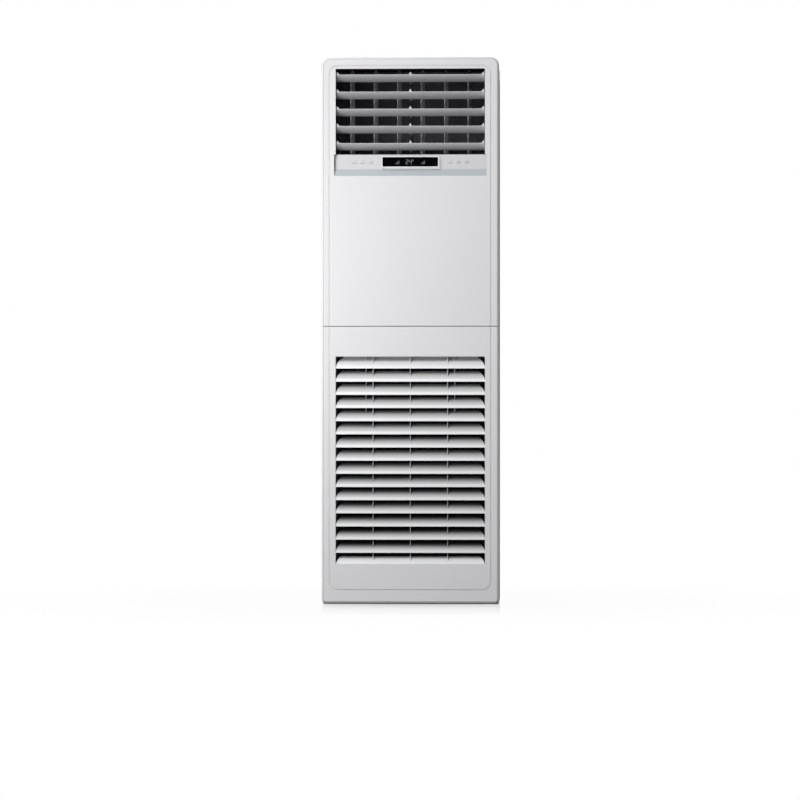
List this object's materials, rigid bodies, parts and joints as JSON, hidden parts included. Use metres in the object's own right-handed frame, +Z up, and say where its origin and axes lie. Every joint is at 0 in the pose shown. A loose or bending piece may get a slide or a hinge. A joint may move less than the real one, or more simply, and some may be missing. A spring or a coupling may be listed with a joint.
{
  "type": "floor standing fan coil unit",
  "caption": "Tall free-standing fan coil cabinet: slatted hinged intake panel below, display strip and swinging outlet vanes at the top, blower and leaning finned coil inside.",
  "frame": {"origin": "on the floor under the middle of the cabinet", "axes": "+Z up, -Y out of the front grille, +X to the right seen from the front"},
  "size_m": [0.6, 0.35, 1.85],
  "materials": {
    "painted_steel": "satin powder coat",
    "white_abs": "fine satin moulded ABS",
    "vane_grey": "satin grey ABS",
    "duct_black": "matt dark moulding",
    "blade_grey": "satin dark grey moulding",
    "liner_foam": "closed cell foam sheet",
    "display_black": "gloss tinted acrylic",
    "board_green": "solder mask",
    "galvanised": "galvanised sheet",
    "catch_plastic": "moulded nylon",
    "motor_metal": "dark painted casting",
    "shaft_steel": "ground steel",
    "blower_plastic": "glass filled moulding",
    "fin_aluminium": "bare fin stock",
    "copper": "drawn copper",
    "drain_plastic": "moulded drain parts",
    "grommet_rubber": "black rubber",
    "filter_plastic": "moulded filter frame",
    "filter_net": "woven nylon net",
    "terminal_plastic": "moulded terminal parts"
  },
  "bodies": {
    "cabinet": {"base_pan": "painted_steel", "base_rim": "painted_steel", "left_side_panel": "painted_steel", "right_side_panel": "painted_steel", "corner_strips": "painted_steel", "back_panel": "painted_steel", "cross_rail": "painted_steel", "upper_front_panel": "white_abs", "control_panel": "white_abs", "top_cover": "white_abs", "outlet_duct": "duct_black", "foam_liner": "liner_foam", "display_window": "display_black", "display_board": "board_green", "fan_deck": "galvanised", "hinge_brackets": "galvanised", "coil_end_plate_left": "galvanised", "coil_end_plate_right": "galvanised", "control_box": "galvanised", "control_box_cover": "galvanised", "cabinet_screws": "galvanised", "grille_catches": "catch_plastic", "fan_motor": "motor_metal", "swing_motors": "motor_metal", "blower_scroll": "blower_plastic", "inlet_bell": "blower_plastic", "coil_fins": "fin_aluminium", "coil_tubes": "copper", "supply_pipe": "copper", "return_pipe": "copper", "drain_pan": "drain_plastic", "drain_pipe": "drain_plastic", "pipe_grommets": "grommet_rubber", "terminal_block": "terminal_plastic", "run_capacitor": "terminal_plastic"},
    "vane_1": {"horizontal_vane_1": "vane_grey"},
    "vane_2": {"horizontal_vane_2": "vane_grey"},
    "vane_3": {"horizontal_vane_3": "vane_grey"},
    "vane_4": {"horizontal_vane_4": "vane_grey"},
    "vane_5": {"horizontal_vane_5": "vane_grey"},
    "vane_link_rod": {"vane_link": "duct_black"},
    "blade_1": {"upright_blade_1": "blade_grey"},
    "blade_2": {"upright_blade_2": "blade_grey"},
    "blade_3": {"upright_blade_3": "blade_grey"},
    "blade_4": {"upright_blade_4": "blade_grey"},
    "blade_5": {"upright_blade_5": "blade_grey"},
    "blade_6": {"upright_blade_6": "blade_grey"},
    "blade_link_bar": {"blade_link": "duct_black"},
    "button_left_1_key": {"button_left_1": "white_abs"},
    "button_left_2_key": {"button_left_2": "white_abs"},
    "button_left_3_key": {"button_left_3": "white_abs"},
    "button_right_1_key": {"button_right_1": "white_abs"},
    "button_right_2_key": {"button_right_2": "white_abs"},
    "button_right_3_key": {"button_right_3": "white_abs"},
    "intake_door": {"intake_panel": "white_abs", "filter_frame": "filter_plastic", "filter_mesh": "filter_net"},
    "blower": {"blower_wheel": "blower_plastic", "fan_shaft": "shaft_steel"}
  },
  "joints": [
    {"name": "intake_door_hinge", "type": "hinge", "parent": "cabinet", "child": "intake_door", "pos_m": [0, -0.163, 0.024], "axis": [1, 0, 0], "range_deg": [0, 20]},
    {"name": "blower_spin", "type": "hinge", "parent": "cabinet", "child": "blower", "pos_m": [0.03, 0, 0.38], "axis": [0, 1, 0], "continuous": true},
    {"name": "vane_1_swing", "type": "hinge", "parent": "cabinet", "child": "vane_1", "pos_m": [0, -0.149, 1.544], "axis": [1, 0, 0], "range_deg": [-20, 70]},
    {"name": "vane_2_swing", "type": "hinge", "parent": "cabinet", "child": "vane_2", "pos_m": [0, -0.149, 1.602], "axis": [1, 0, 0], "range_deg": [-20, 70]},
    {"name": "vane_3_swing", "type": "hinge", "parent": "cabinet", "child": "vane_3", "pos_m": [0, -0.149, 1.66], "axis": [1, 0, 0], "range_deg": [-20, 70]},
    {"name": "vane_4_swing", "type": "hinge", "parent": "cabinet", "child": "vane_4", "pos_m": [0, -0.149, 1.718], "axis": [1, 0, 0], "range_deg": [-20, 70]},
    {"name": "vane_5_swing", "type": "hinge", "parent": "cabinet", "child": "vane_5", "pos_m": [0, -0.149, 1.776], "axis": [1, 0, 0], "range_deg": [-20, 70]},
    {"name": "vane_link_pivot", "type": "hinge", "parent": "vane_3", "child": "vane_link_rod", "pos_m": [0.003, -0.12149, 1.65104], "axis": [1, 0, 0], "range_deg": [-70, 20]},
    {"name": "blade_1_swing", "type": "hinge", "parent": "cabinet", "child": "blade_1", "pos_m": [-0.199, -0.083, 1.666], "axis": [0, 0, 1], "range_deg": [-28, 52]},
    {"name": "blade_2_swing", "type": "hinge", "parent": "cabinet", "child": "blade_2", "pos_m": [-0.1194, -0.083, 1.666], "axis": [0, 0, 1], "range_deg": [-28, 52]},
    {"name": "blade_3_swing", "type": "hinge", "parent": "cabinet", "child": "blade_3", "pos_m": [-0.0398, -0.083, 1.666], "axis": [0, 0, 1], "range_deg": [-28, 52]},
    {"name": "blade_4_swing", "type": "hinge", "parent": "cabinet", "child": "blade_4", "pos_m": [0.0398, -0.083, 1.666], "axis": [0, 0, 1], "range_deg": [-28, 52]},
    {"name": "blade_5_swing", "type": "hinge", "parent": "cabinet", "child": "blade_5", "pos_m": [0.1194, -0.083, 1.666], "axis": [0, 0, 1], "range_deg": [-28, 52]},
    {"name": "blade_6_swing", "type": "hinge", "parent": "cabinet", "child": "blade_6", "pos_m": [0.199, -0.083, 1.666], "axis": [0, 0, 1], "range_deg": [-28, 52]},
    {"name": "blade_link_pivot", "type": "hinge", "parent": "blade_3", "child": "blade_link_bar", "pos_m": [-0.03325, -0.05219, 1.5485], "axis": [0, 0, 1], "range_deg": [-52, 28]},
    {"name": "button_left_1_press", "type": "slide", "parent": "cabinet", "child": "button_left_1_key", "axis": [0, 1, 0], "range_m": [0, 0.0012], "stiffness_N_per_m": 300},
    {"name": "button_left_2_press", "type": "slide", "parent": "cabinet", "child": "button_left_2_key", "axis": [0, 1, 0], "range_m": [0, 0.0012], "stiffness_N_per_m": 300},
    {"name": "button_left_3_press", "type": "slide", "parent": "cabinet", "child": "button_left_3_key", "axis": [0, 1, 0], "range_m": [0, 0.0012], "stiffness_N_per_m": 300},
    {"name": "button_right_1_press", "type": "slide", "parent": "cabinet", "child": "button_right_1_key", "axis": [0, 1, 0], "range_m": [0, 0.0012], "stiffness_N_per_m": 300},
    {"name": "button_right_2_press", "type": "slide", "parent": "cabinet", "child": "button_right_2_key", "axis": [0, 1, 0], "range_m": [0, 0.0012], "stiffness_N_per_m": 300},
    {"name": "button_right_3_press", "type": "slide", "parent": "cabinet", "child": "button_right_3_key", "axis": [0, 1, 0], "range_m": [0, 0.0012], "stiffness_N_per_m": 300}
  ],
  "couplings": [
    {"joint": "vane_2_swing", "follows": "vane_1_swing", "ratio": 1},
    {"joint": "vane_3_swing", "follows": "vane_1_swing", "ratio": 1},
    {"joint": "vane_4_swing", "follows": "vane_1_swing", "ratio": 1},
    {"joint": "vane_5_swing", "follows": "vane_1_swing", "ratio": 1},
    {"joint": "vane_link_pivot", "follows": "vane_1_swing", "ratio": -1},
    {"joint": "blade_2_swing", "follows": "blade_1_swing", "ratio": 1},
    {"joint": "blade_3_swing", "follows": "blade_1_swing", "ratio": 1},
    {"joint": "blade_4_swing", "follows": "blade_1_swing", "ratio": 1},
    {"joint": "blade_5_swing", "follows": "blade_1_swing", "ratio": 1},
    {"joint": "blade_6_swing", "follows": "blade_1_swing", "ratio": 1},
    {"joint": "blade_link_pivot", "follows": "blade_1_swing", "ratio": -1}
  ]
}
